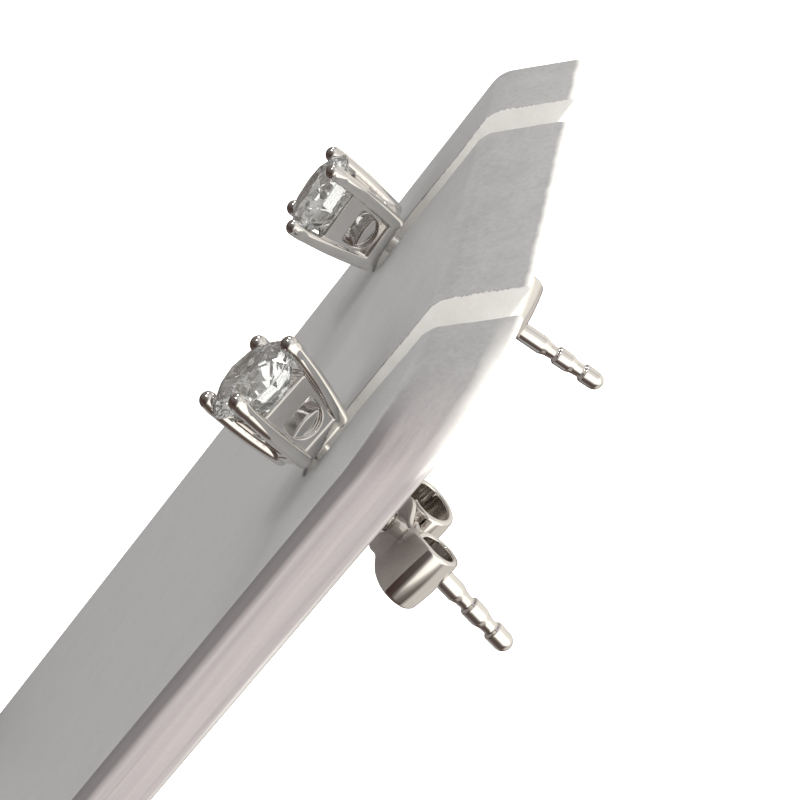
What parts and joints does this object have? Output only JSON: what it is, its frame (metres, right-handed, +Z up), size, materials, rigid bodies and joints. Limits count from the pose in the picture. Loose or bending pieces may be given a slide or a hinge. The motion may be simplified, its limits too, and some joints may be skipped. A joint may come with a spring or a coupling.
{
  "type": "diamond stud earrings on display stand",
  "caption": "Round-brilliant diamond studs in four-prong white gold basket settings with scroll ear nuts, pushed through the slots of a plain grey display stand.",
  "frame": {"origin": "middle of the foot plate's underside", "axes": "+Z up, the stand's front and the stones face -Y, +X to the right seen from the front"},
  "size_m": [0.0274, 0.028, 0.0501],
  "materials": {
    "stand": "matt light grey covering with pale cut edges",
    "white_gold": "mirror-polished rhodium-plated white gold",
    "diamond": "clear cut diamond"
  },
  "bodies": {
    "stand": {"display_stand": "stand", "setting_left": "white_gold", "setting_right": "white_gold", "diamond_left": "diamond", "diamond_right": "diamond"},
    "nut_left": {"ear_nut_left": "white_gold"},
    "nut_right": {"ear_nut_right": "white_gold"}
  },
  "joints": [
    {"name": "nut_left_slide", "type": "slide", "parent": "stand", "child": "nut_left", "axis": [-0.041, 0.9721, -0.2311], "range_m": [-0.0011, 0.0076]},
    {"name": "nut_right_slide", "type": "slide", "parent": "stand", "child": "nut_right", "axis": [-0.025, 0.8821, -0.4703], "range_m": [-0.0008, 0.0076]}
  ]
}
